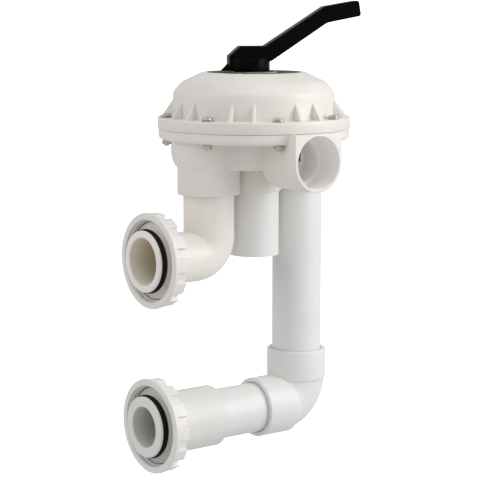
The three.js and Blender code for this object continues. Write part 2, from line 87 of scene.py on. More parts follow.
GAP = 0.3
AXIS_X = (cover_low.x + cover_high.x) / 2
PARTING_Z = (cover_low.z + flange_high.z) / 2
LOWER_Z = (lower_nut_low.z + lower_nut_high.z) / 2
DROP_X = (drop_low.x + drop_high.x) / 2
PORT_PITCH = DROP_X - AXIS_X
STREET_X = AXIS_X - PORT_PITCH

VALVE = Matrix.Translation((AXIS_X, 0, PARTING_Z))
UPPER = Matrix.Identity(4)
LOWER = Matrix.Translation((0, 0, LOWER_Z))
ALONG_X = Matrix.Rotation(math.pi / 2, 4, "Y")
ALONG_Y = Matrix.Rotation(-math.pi / 2, 4, "X")

PIPE_R = (tube_high.x - tube_low.x) / 2
PIPE_BORE_R = 26.2
SOCKET_R = PIPE_R + GAP

# The valve's heights start at the joint between its cover and its body.
COVER_R = (cover_high.x - cover_low.x) / 2
COVER_TOP = 66.5
LABEL_FLOOR = 65.4
LABEL_TOP = 66.2
FLANGE_TOP = 14
BODY_R = COVER_R - 1
BODY_FLANGE_BOTTOM = -12.7
DRUM_R = 70
DRUM_BOTTOM = -45
DRUM_FLOOR = -37
CAVITY_R = 65.5
SEAT_R = 80
SEAT_FLOOR = -10.4
SEAT_Z = -8
ROTOR_BORE_R = 86.5
WEB_HALF = 2
WELL_R = 32
WELL_BORE_R = 27.2
BOSS_BOTTOM = bosses_low.z - PARTING_Z
BOSS_R = 37
CENTRE_BOSS_R = 33
BOSS_SHOULDER_R = 38.6
BOSS_FILLET = 28
DOWN_SOCKET_STOP = -40
BOSS_TOP = -3
PORT_START = 58
PORT_NECK_R = 25.5
PORT_STOP = 88
FRONT_MOUTH = -front_low.y
BACK_MOUTH = back_high.y
PORT_Z = -33
PORT_R = 34.6
BOLT_CIRCLE_R = 106.5
BOLT_COUNT = 8
BOLT_R = 3
BOLT_HOLE_R = 3.4
BOLT_HEAD_R = 5.9
BOLT_END = -19.2
WASHER_R = 7
WASHER_HOLE_R = 3.3
HEX_LOW = -17.4
HEX_HIGH = -13
RIB_HALF_STEP = math.radians(7.5)
HEADING = math.radians(-30)
PIN_Z = 82
PIN_R = 3.5
STEM_R = 11
HUB_BOTTOM = 67.9
HUB_R = 25
HUB_TOP = 83.5
HUB_OFFSET = -6
HANDLE_HALF_WIDTH = 15
HANDLE_WALL = 3.5
HANDLE_SLOT = 15.3
ARM_SLOPE = 0.671
LABEL_INNER_R = 28.2
LABEL_OUTER_R = 55.2
FIGURE_R = 44
FIGURE_SIZE = 9
POSITION_COUNT = 6

# A union's lengths start at the front face of its nut, towards the tank.
NUT_DEPTH = upper_nut_high.x - upper_nut_low.x
NUT_RING_R = (upper_nut_high.z - upper_nut_low.z) / 2
NUT_THREAD_R = 47.5
NUT_BODY_R = 50.5
NUT_LIP_R = 38
NUT_LIP_FRONT = 14.8
THREAD_DEPTH = 1.3
THREAD_PITCH = 5
LUG_R = 54.5
LUG_HALF_WIDTH = 8
LUG_COUNT = 12
TAIL_R = 36
TAIL_NOSE = -8
TAIL_GROOVE = -4.6
TAIL_GROOVE_R = 30.1
SEAL_SECTION = 3.6
TAIL_SHOULDER = 3.2
TAIL_FLANGE = 9
TAIL_FLANGE_R = 45
TAIL_FLANGE_BACK = 14.5

# ---- Mesh helpers --------------------------------------------------------------------


def rounded(corners, closed=False, steps=5):
    """A polyline through (a, b, radius) corners, each rounded with an arc of its radius."""
    corners = [c if len(c) == 3 else (*c, 0) for c in corners]
    count = len(corners)
    points = []
    for i, (a, b, radius) in enumerate(corners):
        here = Vector((a, b))
        if radius == 0 or (not closed and i in (0, count - 1)):
            points.append(here)
            continue
        before = (Vector(corners[i - 1][:2]) - here).normalized()
        after = (Vector(corners[(i + 1) % count][:2]) - here).normalized()
        half = before.angle(after) / 2
        reach = radius / math.tan(half)
        centre = here + (before + after).normalized() * (radius / math.sin(half))
        start = here + before * reach - centre
        sweep = start.angle_signed(here + after * reach - centre)
        for k in range(steps + 1):
            turn = Matrix.Rotation(-sweep * k / steps, 2)
            points.append(centre + turn @ start)
    return points


def finished(bm, name="shape"):
    bmesh.ops.remove_doubles(bm, verts=bm.verts, dist=1e-4)
    bmesh.ops.recalc_face_normals(bm, faces=bm.faces)
    mesh = bpy.data.meshes.new(name)
    bm.to_mesh(mesh)
    bm.free()
    return mesh


def lathe(profile, segments=128, closed=True, sweep=2 * math.pi):
    """Turns (radius, height) points about Z. Open profiles start and end on the axis."""
    bm = bmesh.new()
    whole = sweep > 2 * math.pi - 1e-6
    columns = segments if whole else segments + 1
    rings = []
    for radius, height in profile:
        if radius < 1e-6:
            rings.append([bm.verts.new((0, 0, height))] * columns)
            continue
        angles = [sweep * k / segments for k in range(columns)]
        rings.append([bm.verts.new((radius * math.cos(t), radius * math.sin(t), height)) for t in angles])
    pairs = list(zip(rings, rings[1:] + rings[:1]))
    if not closed:
        pairs = pairs[:-1]
    for low, high in pairs:
        for k in range(segments):
            following = (k + 1) % columns
            corners = [low[k], low[following], high[following], high[k]]
            distinct = list(dict.fromkeys(corners))
            if len(distinct) > 2:
                bm.faces.new(distinct)
    if not whole:
        for k in (0, segments):
            bm.faces.new(list(dict.fromkeys(column[k] for column in rings)))
    return finished(bm)


def turned(corners, segments=128, steps=5):
    """A solid of revolution from rounded corners. It closes on itself if it is off the axis."""
    on_axis = corners[0][0] == 0 and corners[-1][0] == 0
    return lathe(rounded(corners, not on_axis, steps), segments, not on_axis)


def rod(radius, low, high, segments=96):
    return turned([(0, low), (radius, low), (radius, high), (0, high)], segments)


def slab(corners, low, high, closed=True, steps=5):
    """A rounded outline in the XZ plane, between two values of Y."""
    outline = rounded(corners, closed, steps)
    bm = bmesh.new()
    near = [bm.verts.new((p.x, low, p.y)) for p in outline]
    far = [bm.verts.new((p.x, high, p.y)) for p in outline]
    bm.faces.new(near)
    bm.faces.new(far)
    for i in range(len(outline)):
        j = (i + 1) % len(outline)
        bm.faces.new([near[i], near[j], far[j], far[i]])
    return finished(bm)


def block(low, high):
    corners = [(low[0], low[2]), (high[0], low[2]), (high[0], high[2]), (low[0], high[2])]
    return slab(corners, low[1], high[1])


def moved(mesh, matrix):
    mesh.transform(matrix)
    if matrix.determinant() < 0:
        mesh.flip_normals()
    return mesh


def turned_to(mesh, angle, radius=0):
    return moved(mesh, Matrix.Rotation(angle, 4, "Z") @ Matrix.Translation((radius, 0, 0)))


def ring_torus(radius, section, height, segments=128, sides=20):
    profile = []
    for k in range(sides):
        t = 2 * math.pi * k / sides
        profile.append((radius + section * math.cos(t), height + section * math.sin(t)))
    return lathe(profile, segments)


def temporary(mesh):
    holder = bpy.data.objects.new("temporary", mesh)
    bpy.context.scene.collection.objects.link(holder)
    return holder


def modified(mesh, add_modifiers):
    """The mesh after the modifiers that add_modifiers puts on a temporary object."""
    holder = temporary(mesh)
    others = add_modifiers(holder) or []
    shaped = holder.evaluated_get(bpy.context.evaluated_depsgraph_get())
    result = bpy.data.meshes.new_from_object(shaped)
    for extra in [holder, *others]:
        bpy.data.objects.remove(extra)
    return result


def combined(base, others, operation):
    def add(holder):
        tools = [temporary(other) for other in others]
        for tool in tools:
            cut = holder.modifiers.new("cut", "BOOLEAN")
            cut.operation = operation
            cut.solver = "MANIFOLD"
            cut.object = tool
        return tools
    return modified(base, add)


def joined(base, *others):
    return combined(base, others, "UNION")


def carved(base, *others):
    return combined(base, others, "DIFFERENCE")


def bevelled(mesh, width, segments=3, angle=30):
    def add(holder):
        bevel = holder.modifiers.new("edge", "BEVEL")
        bevel.width = width
        bevel.segments = segments
        bevel.limit_method = "ANGLE"
        bevel.angle_limit = math.radians(angle)
    return modified(mesh, add)


def bend(radius, bend_radius, segments=40):
    """A quarter bend from a leg along -X to a leg along +Z, whose axes cross at the origin."""
    first = math.pi if bend_radius > radius else math.acos(-bend_radius / radius)
    sides = 48
    profile = []
    for k in range(sides + 1):
        t = first * (1 - 2 * k / sides)
        profile.append((max(0, bend_radius + radius * math.cos(t)), radius * math.sin(t)))
    open_profile = bend_radius < radius
    wheel = lathe(profile if open_profile else profile[:-1], segments, not open_profile, math.pi / 2)
    stand = Matrix.Rotation(math.pi / 2, 4, "X") @ Matrix.Rotation(-math.pi / 2, 4, "Z")
    return moved(wheel, Matrix.Translation((-bend_radius, 0, bend_radius)) @ stand)


def around(count, first=0.0):
    return [first + 2 * math.pi * k / count for k in range(count)]


def add_piece(name, mesh, place, material, slot_name, body, *nodes, smooth_angle=32):
    """Names, places and finishes a piece, and hides the CAD nodes it stands for."""
    mesh = moved(mesh, Matrix.Scale(0.001, 4) @ place)
    mesh.name = name
    mesh.shade_smooth()
    mesh.set_sharp_from_angle(angle=math.radians(smooth_angle))
    mesh.materials.clear()
    mesh.materials.append(material)
    piece = bpy.data.objects.new(name, mesh)
    bpy.context.scene.collection.objects.link(piece)
    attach(piece, body)
    if nodes:
        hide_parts(*nodes)
    return piece


# ---- Materials -----------------------------------------------------------------------


CLOUD_SCALE = 14
SKIN_DEPTH = 0.00006
BORE_EDGE = 0.001


def new_material(name):
    material = bpy.data.materials.new(name)
    material.use_nodes = True
    tree = material.node_tree
    shader = tree.nodes["Principled BSDF"]
    return material, tree, shader


def noise(tree, scale, detail=4.0, roughness=0.55, stretch=None):
    """Noise in the piece's own metres, stretched along an axis if asked."""
    nodes, links = tree.nodes, tree.links
    where = nodes.new("ShaderNodeTexCoord").outputs["Object"]
    if stretch:
        mapping = nodes.new("ShaderNodeMapping")
        mapping.inputs["Scale"].default_value = stretch
        links.new(where, mapping.inputs["Vector"])
        where = mapping.outputs["Vector"]
    texture = nodes.new("ShaderNodeTexNoise")
    texture.inputs["Scale"].default_value = scale
    texture.inputs["Detail"].default_value = detail
    texture.inputs["Roughness"].default_value = roughness
    links.new(where, texture.inputs["Vector"])
    return texture.outputs["Fac"]


def remapped(tree, value, low, high, out_low, out_high):
    node = tree.nodes.new("ShaderNodeMapRange")
    node.inputs["From Min"].default_value = low
    node.inputs["From Max"].default_value = high
    node.inputs["To Min"].default_value = out_low
    node.inputs["To Max"].default_value = out_high
    tree.links.new(value, node.inputs["Value"])
    return node.outputs["Result"]


def blended(tree, factor, first, second):
    node = tree.nodes.new("ShaderNodeMix")
    node.data_type = "RGBA"
    node.inputs["A"].default_value = (*first, 1)
    node.inputs["B"].default_value = (*second, 1)
    tree.links.new(factor, node.inputs["Factor"])
    return node.outputs["Result"]


def bumped(tree, shader, height, strength, distance):
    node = tree.nodes.new("ShaderNodeBump")
    node.inputs["Strength"].default_value = strength
    node.inputs["Distance"].default_value = distance
    tree.links.new(height, node.inputs["Height"])
    tree.links.new(node.outputs["Normal"], shader.inputs["Normal"])


def bore_mask(tree, bore):
    """Where a bore's painted tint goes: 1 inside a bore, and 0 outside its radius and past its ends. Its
    lengths are metres.

    Its across is 1 on the two axes that the radius is measured on, and 0 along the bore.
    The mask grows over its near span and falls over its far one. A bore along Y counts on
    both sides of the valve.
    """
    centre, across, radius = bore["centre"], bore["across"], bore["radius"]
    nodes, links = tree.nodes, tree.links
    where = nodes.new("ShaderNodeTexCoord").outputs["Object"]
    flat = nodes.new("ShaderNodeMapping")
    flat.inputs["Location"].default_value = [-c * a for c, a in zip(centre, across)]
    flat.inputs["Scale"].default_value = across
    links.new(where, flat.inputs["Vector"])
    distance = nodes.new("ShaderNodeVectorMath")
    distance.operation = "LENGTH"
    links.new(flat.outputs["Vector"], distance.inputs[0])
    split = nodes.new("ShaderNodeSeparateXYZ")
    links.new(where, split.inputs["Vector"])
    along = split.outputs["X"]
    if across[0]:
        either_side = nodes.new("ShaderNodeMath")
        either_side.operation = "ABSOLUTE"
        links.new(split.outputs["Y"], either_side.inputs[0])
        along = either_side.outputs["Value"]
    mask = remapped(tree, distance.outputs["Value"], radius, radius + BORE_EDGE, 1, 0)
    for start, end in (bore["near"], bore["far"]):
        product = nodes.new("ShaderNodeMath")
        product.operation = "MULTIPLY"
        links.new(mask, product.inputs[0])
        links.new(remapped(tree, along, start, end, 0, 1), product.inputs[1])
        mask = product.outputs["Value"]
    return mask


def moulded(name, light, dark, roughness, grain=900, stretch=None, specular=0.5, bore=None):
    """Moulded plastic: cloudy tint, uneven polish and a fine skin. A bore gets a painted tint inside:
    painted light in the port sockets, painted shade in the unions.
    """
    material, tree, shader = new_material(name)
    tint = remapped(tree, noise(tree, CLOUD_SCALE, 5), 0.35, 0.68, 0, 1)
    colour = blended(tree, tint, light, dark)
    # Inside a bore the colour is the bore's painted tint: painted light in the port sockets, painted shade
    # in the unions' bores.
    if bore:
        outside = colour
        colour = blended(tree, bore_mask(tree, bore), light, bore["tint"])
        tree.links.new(outside, colour.node.inputs["A"])
    tree.links.new(colour, shader.inputs["Base Color"])
    shader.inputs["Specular IOR Level"].default_value = specular
    polish = remapped(tree, noise(tree, 60, 6, 0.65), 0.3, 0.7, roughness - 0.07, roughness + 0.09)
    tree.links.new(polish, shader.inputs["Roughness"])
    bumped(tree, shader, noise(tree, grain, 3, 0.6, stretch), 0.35, SKIN_DEPTH)
    shader.inputs["IOR"].default_value = 1.5
    return material


def metal(name, light, dark, roughness):
    material, tree, shader = new_material(name)
    tint = remapped(tree, noise(tree, 180, 6), 0.3, 0.7, 0, 1)
    tree.links.new(blended(tree, tint, light, dark), shader.inputs["Base Color"])
    polish = remapped(tree, noise(tree, 420, 5), 0.3, 0.7, roughness - 0.1, roughness + 0.14)
    tree.links.new(polish, shader.inputs["Roughness"])
    bumped(tree, shader, noise(tree, 1500, 2, 0.5, (1, 1, 0.1)), 0.3, 0.00003)
    shader.inputs["Metallic"].default_value = 1
    return material


# Painted light and shade: the port sockets are painted paler inside, the unions' bores darker.
# Painted light: a paler tint inside both port sockets, where their insides lie in shade.
PORT_PAINTED_LIGHT = {
    "tint": (0.90, 0.885, 0.87),
    "centre": (AXIS_X / 1000, 0, (PARTING_Z + PORT_Z) / 1000), "across": (1, 0, 1), "radius": 0.031,
    "near": (0.058, 0.062), "far": (0.14, 0.13),
}
# Painted shade: a darker, browner tint inside the upper union's bore.
UPPER_BORE_PAINTED_SHADE = {
    "tint": (0.68, 0.60, 0.45),
    "centre": (0, 0, 0), "across": (0, 1, 1), "radius": 0.028,
    "near": (-0.006, 0.02), "far": (0.064, 0.058),
}
# Painted shade: a darker tint inside the lower union's bore.
LOWER_BORE_PAINTED_SHADE = {
    "tint": (0.58, 0.58, 0.50),
    "centre": (0, 0, LOWER_Z / 1000), "across": (0, 1, 1), "radius": 0.028,
    "near": (-0.006, 0.02), "far": (0.1, 0.09),
}
WHITE = moulded("white_plastic", (0.81, 0.775, 0.73), (0.78, 0.745, 0.70), 0.36, bore=PORT_PAINTED_LIGHT)
NUT_WHITE = moulded("nut_plastic", (0.81, 0.79, 0.765), (0.775, 0.758, 0.73), 0.34)
CREAM = moulded("cream_plastic", (0.88, 0.84, 0.785), (0.85, 0.81, 0.755), 0.33, bore=UPPER_BORE_PAINTED_SHADE)
PIPE = moulded("pipe_plastic", (0.80, 0.795, 0.78), (0.77, 0.765, 0.752), 0.38, 500, (1, 1, 0.04))
TAIL = moulded(
    "tail_plastic", (0.755, 0.745, 0.725), (0.73, 0.72, 0.70), 0.42, 500, (1, 1, 0.04), bore=LOWER_BORE_PAINTED_SHADE)
BLACK = moulded(
    "black_plastic", (0.0015, 0.0015, 0.002), (0.0025, 0.0025, 0.003), 0.32, 1600, specular=0.05)
INNER = moulded("inner_plastic", (0.03, 0.03, 0.033), (0.045, 0.045, 0.048), 0.5)
RUBBER = moulded("rubber", (0.004, 0.004, 0.004), (0.007, 0.007, 0.007), 0.55, 2200, specular=0.12)
LABEL = moulded("label_film", (0.03, 0.024, 0.019), (0.045, 0.036, 0.03), 0.55, 1200, specular=0.08)
INK = moulded("label_ink", (0.62, 0.60, 0.56), (0.55, 0.53, 0.50), 0.5)
STEEL = metal("stainless_steel", (0.66, 0.63, 0.58), (0.46, 0.43, 0.39), 0.3)
WIRE = metal("spring_steel", (0.58, 0.57, 0.56), (0.42, 0.41, 0.40), 0.34)

# ---- Valve body ----------------------------------------------------------------------


def port_arch(near, far):
    """Round below and square above, flush with the parting joint."""
    top = -GAP / 2
    corners = [(PORT_R, top, 1.5)]
    for k in range(33):
        t = -math.pi * k / 32
        corners.append((PORT_R * math.cos(t), PORT_Z + PORT_R * math.sin(t)))
    corners.append((-PORT_R, top, 1.5))
    return bevelled(slab(corners, near, far), 0.7)


def port_bore(mouth):
    """Pipe socket and neck of one port, turned about Z with the mouth upwards."""
    start = PORT_START + 3.7
    return turned([
        (0, start), (PORT_NECK_R, start, 2), (PORT_NECK_R, PORT_STOP, 0.5),
        (SOCKET_R - 0.5, PORT_STOP, 0.8),
        (SOCKET_R, mouth - 1), (SOCKET_R + 0.6, mouth), (SOCKET_R + 0.6, mouth + 3), (0, mouth + 3),
    ])


def sleeve(x):
    """Upper half of an outer boss, beside the drum."""
    corners = [
        (0, DRUM_BOTTOM), (BOSS_R, DRUM_BOTTOM), (BOSS_SHOULDER_R, DRUM_BOTTOM + 6, 6),
        (BOSS_SHOULDER_R, BOSS_TOP), (0, BOSS_TOP),
    ]
    return moved(turned(corners), Matrix.Translation((x, 0, 0)))


def boss_fillet(side_x, side_y):
    """Fills the corner between an outer boss and the drum, with a fillet that touches both.

    side_x and side_y are 1 or -1 and say which of the four corners it is.
    """
    near = BOSS_SHOULDER_R + BOSS_FILLET
    far = DRUM_R + BOSS_FILLET
    along = (PORT_PITCH ** 2 + far ** 2 - near ** 2) / (2 * PORT_PITCH)
    centre = Vector((along, math.sqrt(far ** 2 - along ** 2)))
    at_drum = centre * (DRUM_R - 1) / far
    at_boss = Vector((PORT_PITCH, 0)).lerp(centre, (BOSS_SHOULDER_R - 1) / near)
    outline = [(PORT_PITCH - 12, 20), at_boss, centre, at_drum]
    post = moved(slab([(x * side_x, y * side_y) for x, y in outline], 3, -DRUM_BOTTOM), ALONG_Y)
    round_cut = moved(rod(BOSS_FILLET, DRUM_BOTTOM - 1, 0, 160),
                      Matrix.Translation((centre.x * side_x, centre.y * side_y, 0)))
    return carved(post, round_cut)


def boss(radius, x):
    corners = [(0, BOSS_BOTTOM), (radius, BOSS_BOTTOM, 1.2), (radius, BOSS_TOP), (0, BOSS_TOP)]
    return moved(turned(corners), Matrix.Translation((x, 0, 0)))


def down_socket(x):
    """The hole for a hanging pipe, with a stop at its top and a way on into the drum."""
    return moved(turned([
        (0, BOSS_BOTTOM - 2), (SOCKET_R + 2, BOSS_BOTTOM - 2), (SOCKET_R + 1.2, BOSS_BOTTOM),
        (SOCKET_R, BOSS_BOTTOM + 1.2), (SOCKET_R, DOWN_SOCKET_STOP, 0.6),
        (PIPE_BORE_R, DOWN_SOCKET_STOP, 0.4), (PIPE_BORE_R, DRUM_FLOOR + 1), (0, DRUM_FLOOR + 1),
    ]), Matrix.Translation((x, 0, 0)))


def body_shape():
    """Flange, drum, ports and bosses in one shell, with the chamber and the sockets cut out."""
    flange = turned([
        (0, DRUM_BOTTOM), (DRUM_R, DRUM_BOTTOM, 1.5), (DRUM_R, BODY_FLANGE_BOTTOM, 4),
        (BODY_R, BODY_FLANGE_BOTTOM, 5), (BODY_R, -GAP / 2, 0.6), (0, -GAP / 2),
    ], 192)
    ports = [port_arch(-FRONT_MOUTH, -PORT_START), port_arch(PORT_START, BACK_MOUTH)]
    bosses = [boss(CENTRE_BOSS_R, 0)]
    for x in (-PORT_PITCH, PORT_PITCH):
        bosses.append(boss(BOSS_R, x))
        bosses.append(sleeve(x))
        bosses += [boss_fillet(math.copysign(1, x), side) for side in (-1, 1)]
    outside = joined(flange, *bosses, *ports)
    cuts = []
    for radius, floor in ((CAVITY_R, DRUM_FLOOR), (SEAT_R, SEAT_FLOOR), (ROTOR_BORE_R, SEAT_Z)):
        cuts.append(rod(radius, floor, 1, 160))
    cuts += [down_socket(x) for x in (-PORT_PITCH, 0, PORT_PITCH)]
    for x in (-PORT_PITCH, PORT_PITCH):
        riser = moved(rod(PIPE_BORE_R, DRUM_FLOOR, 1), Matrix.Translation((x, 0, 0)))
        cuts.append(combined(riser, [rod(SEAT_R, DRUM_FLOOR, 1, 160)], "INTERSECT"))
    for side, mouth in ((-1, FRONT_MOUTH), (1, BACK_MOUTH)):
        turn = Matrix.Translation((0, 0, PORT_Z)) @ Matrix.Scale(side, 4, (0, 1, 0)) @ ALONG_Y
        cuts.append(moved(port_bore(mouth), turn))
    for angle in around(BOLT_COUNT, math.pi / BOLT_COUNT):
        cuts.append(turned_to(rod(BOLT_HOLE_R, -20, 1, 32), angle, BOLT_CIRCLE_R))
    return carved(outside, *cuts)


def webs_shape():
    """Crossed webs and a round well that carry the gasket."""
    low = DRUM_FLOOR + GAP
    well = rod(WELL_R, low, SEAT_Z)
    cross = []
    for angle in (math.pi / 4, 3 * math.pi / 4):
        for wall, floor in ((CAVITY_R, low), (SEAT_R, SEAT_FLOOR + GAP)):
            web = block((GAP - wall, -WEB_HALF, floor), (wall - GAP, WEB_HALF, SEAT_Z))
            cross.append(turned_to(web, angle))
    return carved(joined(well, *cross), rod(WELL_BORE_R, -50, 1))


add_piece("body_shell", body_shape(), VALVE, WHITE, "valve_plastic", "valve",
          "body", "body_flange", "down_ports", "front_port", "back_port")
add_piece("web_insert", webs_shape(), VALVE, WHITE, "valve_plastic", "valve", "chamber_webs")

# ---- Cover ---------------------------------------------------------------------------


RIB_FOOT_HALF = 2.5
RIB_TAPER = 1.1
RIB_TAPER_HEIGHT = 25
COVER_GROOVE = (93.4, 98.6)
COVER_GROOVE_TOP = 3.6
SPRING_TUBE_R = 18.5
SPRING_SEAT = 60.5


def cover_rib(angle):
    """A gusset that is thicker at its foot than at its top."""
    outline = [(110.5, FLANGE_TOP - 0.5), (96.4, 34.3), (92, 35), (92, FLANGE_TOP - 0.5)]
    bm = bmesh.new()
    faces = []
    for side in (-1, 1):
        ring = []
        for x, z in outline:
            height = (z - FLANGE_TOP) / RIB_TAPER_HEIGHT
            ring.append(bm.verts.new((x, side * (RIB_FOOT_HALF - RIB_TAPER * height), z)))
        faces.append(ring)
        bm.faces.new(ring)
    for i in range(len(outline)):
        j = (i + 1) % len(outline)
        bm.faces.new([faces[0][i], faces[0][j], faces[1][j], faces[1][i]])
    return turned_to(bevelled(finished(bm), 0.6, 2), angle)


def cover_shape():
    """Dome on a flange, hollow below, with a guide for the stem and a groove for its seal."""
    skin = turned([
        (88, GAP / 2), (COVER_R - 0.5, GAP / 2, 0.5), (COVER_R, 1.2), (COVER_R, FLANGE_TOP, 2),
        (97.2, FLANGE_TOP, 2.5), (96.6, 43.5, 14), (85.5, 55.5, 16), (62, COVER_TOP - 0.2, 4),
        (56, COVER_TOP, 0.4), (55.6, LABEL_FLOOR), (27.8, LABEL_FLOOR), (27.4, COVER_TOP, 0.5),
        (STEM_R + GAP, COVER_TOP, 0.5), (STEM_R + GAP, 32, 0.8), (SPRING_TUBE_R, 32, 0.8),
        (SPRING_TUBE_R + 1, SPRING_SEAT, 1.5), (57, SPRING_SEAT, 4), (82, 50, 6), (90.5, 36, 4),
        (91, 8),
    ], 192)
    ribs = []
    for angle in around(BOLT_COUNT):
        ribs.append(cover_rib(angle - RIB_HALF_STEP))
        ribs.append(cover_rib(angle + RIB_HALF_STEP))
    dome = joined(skin, *ribs)
    inner, outer = COVER_GROOVE
    groove = [(inner, -1), (outer, -1), (outer, COVER_GROOVE_TOP, 0.6), (inner, COVER_GROOVE_TOP, 0.6)]
    cuts = [turned(groove, 160)]
    for angle in around(BOLT_COUNT, math.pi / BOLT_COUNT):
        cuts.append(turned_to(rod(BOLT_HOLE_R, -1, 20, 32), angle, BOLT_CIRCLE_R))
    return carved(dome, *cuts)


add_piece("cover_shell", cover_shape(), VALVE, WHITE, "valve_plastic", "valve", "cover")

# ---- Bolts, washers and nuts ---------------------------------------------------------


def bolt_shape():
    """Pan head with a cross slot, and a plain threaded end that shows below the nut."""
    under = FLANGE_TOP + GAP + 1.2 + GAP
    head = turned([
        (0, BOLT_END), (BOLT_R - 0.5, BOLT_END), (BOLT_R, BOLT_END + 0.6), (BOLT_R, under),
        (BOLT_HEAD_R, under, 0.4), (BOLT_HEAD_R, under + 1.7, 1), (4.4, under + 2.9, 1), (0, under + 3),
    ], 40)
    slots = []
    for turn in (0, math.pi / 2):
        slots.append(turned_to(block((-3.6, -0.6, under + 1.6), (3.6, 0.6, under + 6)), turn))
    return carved(head, *slots)


def hex_nut_shape():
    """A hexagon whose corners are cut by two cones."""
    low, high = HEX_LOW - 0.1, HEX_HIGH + 0.1
    hexagon = turned([(0, HEX_LOW), (5.7, HEX_LOW), (5.7, HEX_HIGH), (0, HEX_HIGH)], 6)
    chamfer = turned([
        (0, low), (5.1, low), (5.9, low + 0.8), (5.9, high - 0.9), (5.1, high), (0, high),
    ], 48)
    trimmed = combined(hexagon, [chamfer], "INTERSECT")
    return carved(trimmed, rod(WASHER_HOLE_R, -20, -11, 32))


for number, angle in enumerate(around(BOLT_COUNT, math.pi / BOLT_COUNT), start=1):
    spot = VALVE @ Matrix.Rotation(angle, 4, "Z") @ Matrix.Translation((BOLT_CIRCLE_R, 0, 0))
    twist = Matrix.Rotation(0.7 * number, 4, "Z")
    low, high = FLANGE_TOP + GAP, FLANGE_TOP + 1.5
    washer = turned([
        (WASHER_HOLE_R, low), (WASHER_R, low, 0.3), (WASHER_R, high, 0.4), (WASHER_HOLE_R, high),
    ], 48)
    add_piece(f"bolt_{number}_head", bolt_shape(), spot @ twist, STEEL, "steel", "valve", f"bolt_{number}")
    add_piece(f"washer_{number}_ring", washer, spot, STEEL, "steel", "valve", f"washer_{number}")
    add_piece(f"nut_{number}_hex", hex_nut_shape(), spot, STEEL, "steel", "valve", f"hex_nut_{number}")

# ---- Label ---------------------------------------------------------------------------


def label_shape():
    low = LABEL_FLOOR + 0.1
    return turned([
        (LABEL_INNER_R, low), (LABEL_OUTER_R, low), (LABEL_OUTER_R, LABEL_TOP, 0.2),
        (LABEL_INNER_R, LABEL_TOP, 0.2),
    ], 160)


def digit(text, size):
    curve = bpy.data.curves.new("digit", "FONT")
    curve.body = text
    curve.size = size
    curve.align_x = "CENTER"
    curve.align_y = "CENTER"
    curve.extrude = 0.08
    holder = bpy.data.objects.new("digit", curve)
    bpy.context.scene.collection.objects.link(holder)
    mesh = bpy.data.meshes.new_from_object(holder.evaluated_get(bpy.context.evaluated_depsgraph_get()))
    bpy.data.objects.remove(holder)
    return mesh


def label_marks():
    """Six numbered positions and the lines between them."""
    top = LABEL_TOP + 0.05
    bm = bmesh.new()
    for number, angle in enumerate(around(POSITION_COUNT, HEADING), start=1):
        outwards = Matrix.Translation((FIGURE_R, 0, top)) @ Matrix.Rotation(-math.pi / 2, 4, "Z")
        bm.from_mesh(turned_to(moved(digit(str(number), FIGURE_SIZE), outwards), angle))
        line = block((31, -0.35, top - 0.08), (53, 0.35, top + 0.08))
        bm.from_mesh(turned_to(line, angle + math.pi / POSITION_COUNT))
    mesh = bpy.data.meshes.new("label_marks")
    bm.to_mesh(mesh)
    bm.free()
    return mesh


add_piece("label_ring", label_shape(), VALVE, LABEL, "label", "valve", "label_plate")
add_piece("label_figures", label_marks(), VALVE, INK, "label", "valve")

# ---- Handle, pin and slip washer -----------------------------------------------------


def handle_shape():
    """Hub, arm and grip, hollow underneath, with a slot and a cross hole for the stem."""
    half, inner = HANDLE_HALF_WIDTH, HANDLE_HALF_WIDTH - HANDLE_WALL
    arm = slab([
        (-31, HUB_BOTTOM + 1.6, 1), (-31, 85.4, 2), (-17.6, 97.2, 2), (12, 97.2, 1), (83, 143.6, 8),
        (123.5, 150.7, 3), (126.5, 132.4, 3), (85.8, 124.3, 14), (20, 80, 1),
        (-12, HUB_BOTTOM + 1.6, 1),
    ], -half, half)
    arm = bevelled(arm, 1.8, 3)
    hub = turned([(0, HUB_BOTTOM), (HUB_R, HUB_BOTTOM, 1), (HUB_R, HUB_TOP, 1.6), (0, HUB_TOP)], 96)
    hub = moved(hub, Matrix.Translation((HUB_OFFSET, 0, 0)))
    pointer = slab([(-20, 80), (-31, 77), (-39.8, HUB_BOTTOM), (-20, HUB_BOTTOM)], -4, 4)
    whole = joined(arm, hub, bevelled(pointer, 0.8, 2))
    slot = block((-HANDLE_SLOT, -inner, HUB_BOTTOM - 2), (HANDLE_SLOT, inner, 91))
    pin_hole = moved(rod(PIN_R + GAP, -40, 40, 48), Matrix.Translation((0, 0, PIN_Z)) @ ALONG_Y)
    channel = slab([
        (38, 84), (44, 112, 2), (85, 138.4, 8), (118, 144.4, 3), (121, 128), (93, 120), (60, 98),
    ], -inner, inner)
    hollow = carved(whole, slot, pin_hole, channel)
    ribs = []
    for x in (48, 60, 72, 84):
        low = 83 + ARM_SLOPE * (x - 20)
        ribs.append(block((x - 1, -12, low), (x + 1, 12, low + 11)))
    return joined(hollow, *ribs)


turned_handle = VALVE @ Matrix.Rotation(HEADING, 4, "Z")
add_piece("handle_lever", handle_shape(), turned_handle, BLACK, "handle_plastic", "handle", "handle")
pin_shape = turned([(0, -24), (PIN_R, -24, 0.5), (PIN_R, 24, 0.5), (0, 24)], 48)
across_hub = turned_handle @ Matrix.Translation((0, 0, PIN_Z)) @ ALONG_Y
add_piece("cross_pin", pin_shape, across_hub, BLACK, "inner_plastic", "rotor", "handle_pin")
slip_shape = turned([(11.3, 66.8), (25, 66.8, 0.3), (25, 67.6, 0.3), (11.3, 67.6)], 96)
add_piece("slip_ring", slip_shape, VALVE, INNER, "inner_plastic", "turning_parts", "slip_washer")

# ---- Unions --------------------------------------------------------------------------


